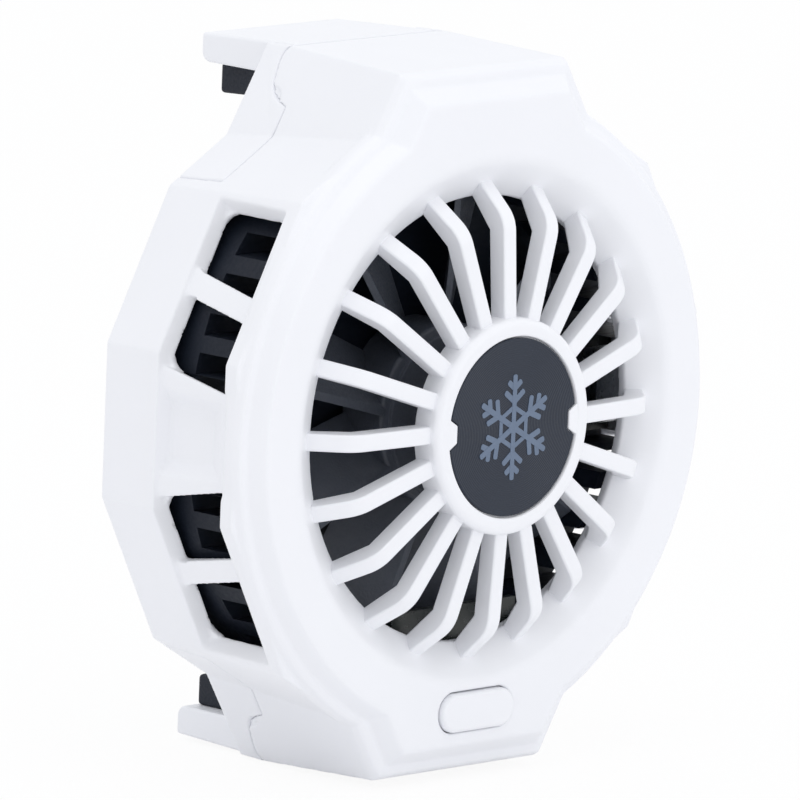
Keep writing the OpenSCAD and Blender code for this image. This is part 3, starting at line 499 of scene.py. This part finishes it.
# Power button: a white ABS cap with round ends in the front of the lower lobe, with a flange that keeps it
# in. It presses a small switch.
def add_pill(bm, width, height, z, low, high, segments=40):
    """A block with round ends that faces the front, in mm, and the edges of its front rim."""
    stand = Matrix.Rotation(math.pi / 2, 4, "X") @ Matrix.Rotation(math.pi / segments, 4, "Z")
    place = Matrix.Translation((0, -(low + high) / 2 * mm, z * mm))
    cone = bmesh.ops.create_cone(bm, cap_ends=True, segments=segments, radius1=height / 2 * mm,
                                 radius2=height / 2 * mm, depth=(high - low) * mm, matrix=place @ stand)
    verts = cone["verts"]
    for vert in verts:
        vert.co.x += math.copysign((width - height) / 2 * mm, vert.co.x)
    edges = {edge for vert in verts for edge in vert.link_edges}
    return [edge for edge in edges if all(abs(vert.co.y + high * mm) < touch for vert in edge.verts)]


button_w, button_h, button_z = 11.54, 4.44, -32.85
button_h0, button_h1, button_edge = 23.75, 26.6, 0.45
flange_w, flange_h1, flange_edge, flange_lap = 0.58, 24.35, 0.1, 0.1
bm = bmesh.new()
rim = add_pill(bm, button_w, button_h, button_z, button_h0 + flange_lap, button_h1)
soften(bm, rim, button_edge * mm, segments=4)
rim = add_pill(bm, button_w + 2 * flange_w, button_h + 2 * flange_w, button_z, button_h0, flange_h1)
soften(bm, rim, flange_edge * mm, segments=2)
finish_piece("power_button_cap", bm, [abs_white], "white_abs", "button", "power_button")

# Rear shell: the white back plate with the wings that close the lobes round the jaws. The wings meet the
# front shell in a fine groove, with no gap to be seen, and their tops are level with the jaws. The seam's
# corners are (distance from the middle, height) points.
seam = [(34.5, 8.0), (34.6, 7.5), (34.9, 6.5), (35.2, 5.7), (35.7, 5.1), (36.6, 4.6), (38.7, 4.15),
        (39.6, 4.1), (40.1, 4.25), (40.6, 4.65)]
wing_z, wing_h1 = 26.4, 8.0
roof_z, roof_drop = 40.9, 0.28
closing, near = 0.1, 0.02
bm = copy_of("rear_shell")
for vert in bm.verts:
    z, h = abs(vert.co.z) / mm, -vert.co.y / mm
    dz = dh = 0
    if any(math.hypot(z - seam_z, h - seam_h) < near for seam_z, seam_h in seam):
        dz = dh = closing
    elif abs(z - wing_z) < near:
        dz, dh = -closing, closing if abs(h - wing_h1) < near else 0
    elif z > roof_z:
        dz = -roof_drop
    vert.co += Vector((0, -dh, dz if vert.co.z > 0 else -dz)) * mm
finish_moulding("rear_shell_moulding", bm, abs_white, "case", "rear_shell",
                cell=0.15, passes=12, share=0.2)

# Slide cover: a flat nylon plate that traps the jaws' sliders against the back, with posts for the springs.
# Four screws hold it. The heat sink's own screws are of the same steel.
dress(nylon, "slide_cover")
dress(steel, "cover_screws", "sink_screws")

# Jaws: white ABS slabs, a little wider and thicker towards the case, on slider plates with two ears, which
# the springs pull together round the phone.
jaw_h0, jaw_h1 = -10.6, 4.5
jaw_z0, end_z1, root_z1 = 37.0, 40.3, 40.86
end_half, root_half = 10.85, 11.3
heel_r, jaw_edge = 1.2, 0.36
slide_h0, slide_h1, slide_z0, slide_z1, slide_half = 2.55, 4.4, 16.2, jaw_z0 + 1, 10.5
ear_half, ear_l = 18.0, 2.5
slide_edge = 0.2
sides = (("upper", 1), ("lower", -1))
for side, up in sides:
    bm = bmesh.new()
    add_block(bm, Vector((-root_half, -jaw_h1, jaw_z0)) * mm, Vector((root_half, -jaw_h0, root_z1)) * mm)
    for vert in bm.verts:
        if vert.co.y > 0:
            vert.co.x = math.copysign(end_half * mm, vert.co.x)
            vert.co.z = min(vert.co.z, end_z1 * mm)
    under = [edge for edge in bm.edges
             if all(vert.co.y > 0 and vert.co.z < jaw_z0 * mm + touch for vert in edge.verts)]
    soften(bm, under, heel_r * mm, segments=6)
    sharp = [edge for edge in bm.edges if edge.calc_face_angle(0) > sharp_angle]
    soften(bm, sharp, jaw_edge * mm, segments=4)
    plate = add_block(bm, Vector((-slide_half, -slide_h1, slide_z0)) * mm,
                      Vector((slide_half, -slide_h0, slide_z1)) * mm)
    ears = add_block(bm, Vector((-ear_half, -slide_h1, slide_z0)) * mm,
                     Vector((ear_half, -slide_h0, slide_z0 + ear_l)) * mm)
    soften(bm, plate + ears, slide_edge * mm)
    if up < 0:
        bmesh.ops.scale(bm, vec=(1, 1, -1), verts=bm.verts)
        bmesh.ops.reverse_faces(bm, faces=bm.faces)
    finish_piece(side + "_jaw_slab", bm, [abs_white], "white_abs", side + "_clamp", side + "_jaw")

# Rubber pads: blocks of moulded black rubber glued under the slabs. They are thicker at the free end, so
# that the phone is hooked.
# Moulded rubber: dark grey-blue and dull, with a skin of tiny pits.
rubber = new_finish("moulded_rubber", ("#191D26", "#212631"), patch=3, rough=(0.55, 0.75), grain=0.3,
                    depth=0.02, IOR=1.4)
pad_rise, pad_edge = 0.5, 0.5
for side, up in sides:
    low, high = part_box(side + "_pad")
    bm = bmesh.new()
    edges = add_block(bm, low, high)
    face_z = low.z if up > 0 else high.z
    for vert in bm.verts:
        if abs(vert.co.z - face_z) < touch and vert.co.y < 0:
            vert.co.z += up * pad_rise * mm
    soften(bm, edges, pad_edge * mm, segments=4)
    finish_piece(side + "_pad_block", bm, [rubber], "rubber", side + "_clamp", side + "_pad")

# Return springs: four close-wound springs of steel wire, hooked between posts on the slide cover and the
# ears of the sliders, which draw the jaws together.
spring_x, spring_h = 16.6, 3.475
spring_z0, spring_z1 = 2.0, 16.2
spring_r, spring_wire, spring_turns = 0.95, 0.17, 24
spring_pitch = (spring_z1 - spring_z0 - 2 * spring_wire) / spring_turns
for side, up in sides:
    for name, x in (("left", -spring_x), ("right", spring_x)):
        low = Vector((x, -spring_h, up * spring_z0)) * mm
        high = Vector((x, -spring_h, up * spring_z1)) * mm
        first = low + Vector((spring_r - spring_wire, 0, up * spring_wire)) * mm
        bm = bmesh.new()
        wind_wire(bm, first, (0, 0, up), low, spring_pitch * mm, spring_turns, spring_wire * mm, steps=16)
        spring = finish_piece("spring_" + side + "_" + name, bm, [steel], "steel", None, side + "_springs")
        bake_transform(spring)


# Case screws: four flat-headed steel screws with a cross recess, sunk in the back. They hold the two shells
# together.
floor_share, crown_share, crown_d, ring_n = 0.7, 0.86, 0.12, 36


def add_cross_head(bm, x, z, face, r, thick, arm, width, depth):
    """A screw head that faces the back, with a cross recess that narrows inwards; in mm."""
    stand = Matrix.Translation((x * mm, -face * mm, z * mm)) @ Matrix.Rotation(-math.pi / 2, 4, "X")

    def loop(points, height):
        verts = [bm.verts.new(stand @ Vector((a * mm, b * mm, height * mm))) for a, b in points]
        return verts, [bm.edges.new(pair) for pair in zip(verts, verts[1:] + verts[:1])]

    def cross(scale):
        a, w = arm * scale, width * scale
        quarter = [(a, -w), (a, w), (w, w)]
        return [(px * c - py * s, px * s + py * c) for c, s in ((1, 0), (0, 1), (-1, 0), (0, -1))
                for px, py in quarter]

    def ring(radius):
        turn = [math.tau * k / ring_n for k in range(ring_n)]
        return [(radius * math.cos(t), radius * math.sin(t)) for t in turn]

    floor_verts, floor = loop(cross(floor_share), -depth)
    mouth = loop(cross(1), 0)[1]
    crown = loop(ring(r * crown_share), 0)[1]
    edge = loop(ring(r), -crown_d)[1]
    foot_verts, foot = loop(ring(r), -thick)
    for inner, outer in ((floor, mouth), (mouth, crown), (crown, edge), (edge, foot)):
        bmesh.ops.bridge_loops(bm, edges=inner + outer)
    bm.faces.new(floor_verts)
    bm.faces.new(foot_verts)


screw_x, screw_z = 23.65, 22.73
shank_r, shank_l, shank_h = 0.7, 4.9, 4.05
bm = bmesh.new()
add_cross_head(bm, screw_x, screw_z, face=1.1, r=1.75, thick=0.5, arm=1.0, width=0.22, depth=0.4)
stand = Matrix.Translation(Vector((screw_x, -shank_h, screw_z)) * mm) @ Matrix.Rotation(math.pi / 2, 4, "X")
bmesh.ops.create_cone(bm, cap_ends=True, segments=20, radius1=shank_r * mm, radius2=shank_r * mm,
                      depth=shank_l * mm, matrix=stand)
bmesh.ops.recalc_face_normals(bm, faces=bm.faces)
first = bm.verts[:] + bm.edges[:] + bm.faces[:]
for across, down in ((1, 0), (0, 1), (1, 1)):
    more = bmesh.ops.duplicate(bm, geom=first)["geom"]
    bmesh.ops.translate(bm, vec=Vector((-2 * screw_x * across, 0, -2 * screw_z * down)) * mm,
                        verts=verts_in(more))
finish_piece("case_screw_heads", bm, [steel], "steel", "case", "case_screws")

# Charging socket: a drawn steel shell with a round-ended mouth, and a black tongue with small gold contacts
# inside. It is soldered on its board and looks out of the right-hand pocket.
socket_x, socket_h, socket_w, socket_t, socket_l = 34.62, 15.2, 8.9, 3.2, 7.2
# Outline of the shell's wall: inset and depth, from the back, round the lip and down to the bottom inside.
wall = [(0, socket_l), (0, 0.14), (0.05, 0.04), (0.14, 0), (0.21, 0), (0.3, 0.04), (0.35, 0.14),
        (0.35, 6.2)]
mouth_n = 48
half = (socket_w - socket_t) / 2
turn = [math.tau * (k + 0.5) / mouth_n for k in range(mouth_n)]
bm = bmesh.new()
loops = []
for inset, depth in wall:
    r = socket_t / 2 - inset
    points = [(socket_x - depth, -socket_h + r * math.sin(t),
               r * math.cos(t) + math.copysign(half, math.cos(t))) for t in turn]
    loops.append([bm.verts.new(Vector(point) * mm) for point in points])
for near_loop, far_loop in zip(loops, loops[1:]):
    for k in range(mouth_n):
        j = (k + 1) % mouth_n
        bm.faces.new((near_loop[k], near_loop[j], far_loop[j], far_loop[k]))
bm.faces.new(loops[0])
bm.faces.new(loops[-1])
bmesh.ops.recalc_face_normals(bm, faces=bm.faces)
finish_piece("socket_shell", bm, [steel], "steel", "case", "charging_socket")

# Gold plate: a warm, even shine on the contacts of the tongue.
gold = new_finish("gold_plate", ("#C9A24E", "#D8B566"), patch=1, rough=(0.2, 0.3), grain=0.2, depth=0.002,
                  Metallic=1)
tongue_half, tongue_t, tongue_edge = 3.3, 0.7, 0.15
tongue_x0, tongue_x1 = socket_x - socket_l + 0.6, socket_x - 1
contact_n, contact_gap, contact_w, contact_t = 12, 0.5, 0.26, tongue_t + 0.06
contact_x0, contact_x1 = socket_x - 4.2, socket_x - 1.3
bm = bmesh.new()
tongue = add_block(bm, Vector((tongue_x0, -socket_h - tongue_t / 2, -tongue_half)) * mm,
                   Vector((tongue_x1, -socket_h + tongue_t / 2, tongue_half)) * mm)
soften(bm, tongue, tongue_edge * mm)
plastic_faces = set(bm.faces)
for k in range(contact_n):
    z = (k - (contact_n - 1) / 2) * contact_gap
    add_block(bm, Vector((contact_x0, -socket_h - contact_t / 2, z - contact_w / 2)) * mm,
              Vector((contact_x1, -socket_h + contact_t / 2, z + contact_w / 2)) * mm)
for face in bm.faces:
    face.material_index = 0 if face in plastic_faces else 1
finish_piece("socket_tongue", bm, [nylon, gold], "black_plastic", "case", "charging_socket")


# Studio: a white paper floor, a white tent that lights evenly, and two weak soft lamps above and in front.
# The camera sees paper and tent as white, and the light that the tent gives is a little weaker.
def seen_directly(tree):
    """One for rays that show the background: from the camera, mirrored, or through something clear."""
    rays = add_node(tree, "LightPath", {})
    seen = rays.outputs["Is Camera Ray"]
    for kind in ("Is Glossy Ray", "Is Transmission Ray"):
        either = add_node(tree, "Math", {0: seen, 1: rays.outputs[kind]}, operation="MAXIMUM")
        seen = either.outputs["Value"]
    return seen


def add_lamp(name, place, size, power):
    """A square soft lamp that looks at the fan."""
    lamp = bpy.data.lights.new(name, "AREA")
    lamp.size = size
    lamp.energy = power
    holder = bpy.data.objects.new(name, lamp)
    bpy.context.scene.collection.objects.link(holder)
    holder.location = place
    holder.rotation_euler = (-Vector(place)).to_track_quat("-Z", "Y").to_euler()


floor_z, floor_half = cad_box[0][2], 6
paper_white, tent_level = 0.92, 0.88
paper = bpy.data.materials.new("white_paper")
paper.use_nodes = True
tree = paper.node_tree
paper_shader = tree.nodes["Principled BSDF"]
paper_shader.inputs["Base Color"].default_value = linear("#FAFAFB")
paper_shader.inputs["Roughness"].default_value = 0.9
glow = add_node(tree, "Emission", {"Color": linear("#FFFFFF"), "Strength": 1})
share = add_node(tree, "Math", {0: seen_directly(tree), 1: paper_white}, operation="MULTIPLY")
mixed = add_node(tree, "MixShader", {0: share.outputs["Value"], 1: paper_shader.outputs["BSDF"],
                                     2: glow.outputs["Emission"]})
tree.links.new(mixed.outputs["Shader"], tree.nodes["Material Output"].inputs["Surface"])
bm = bmesh.new()
bmesh.ops.create_grid(bm, size=floor_half)
bmesh.ops.translate(bm, vec=(0, 0, floor_z), verts=bm.verts)
mesh = bpy.data.meshes.new("floor")
bm.to_mesh(mesh)
bm.free()
mesh.materials.append(paper)
floor = bpy.data.objects.new("floor", mesh)
bpy.context.scene.collection.objects.link(floor)

world = bpy.data.worlds.new("white_room")
bpy.context.scene.world = world
world.use_nodes = True
tree = world.node_tree
tent = tree.nodes["Background"]
tent.inputs["Color"].default_value = linear("#FCFDFF")
level = add_node(tree, "MapRange", {"Value": seen_directly(tree), "To Min": tent_level, "To Max": 1})
tree.links.new(level.outputs["Result"], tent.inputs["Strength"])

add_lamp("top_lamp", (-0.3, -0.25, 1.8), size=1.2, power=5)
add_lamp("front_lamp", (0.5, -1.7, 0.5), size=1.2, power=3)

# Camera: a long lens a little above the fan and well to the left of its front, as in the photograph. Its
# place and its three directions are in the fan's own frame.
camera = bpy.data.cameras.new("camera")
camera.sensor_width = 36
camera.lens = 605.07
camera.clip_end = 20
eye = Vector((-1074.865, -1050.626, 253.087)) * mm
rightward = Vector((0.69902, -0.71402, 0.03926))
upward = Vector((0.09210, 0.14433, 0.98523))
ahead = Vector((0.70915, 0.68508, -0.16665))
holder = bpy.data.objects.new("camera", camera)
bpy.context.scene.collection.objects.link(holder)
holder.matrix_world = Matrix.Translation(eye) @ Matrix((rightward, upward, -ahead)).transposed().to_4x4()
bpy.context.scene.camera = holder
bpy.context.scene.view_settings.view_transform = "Standard"
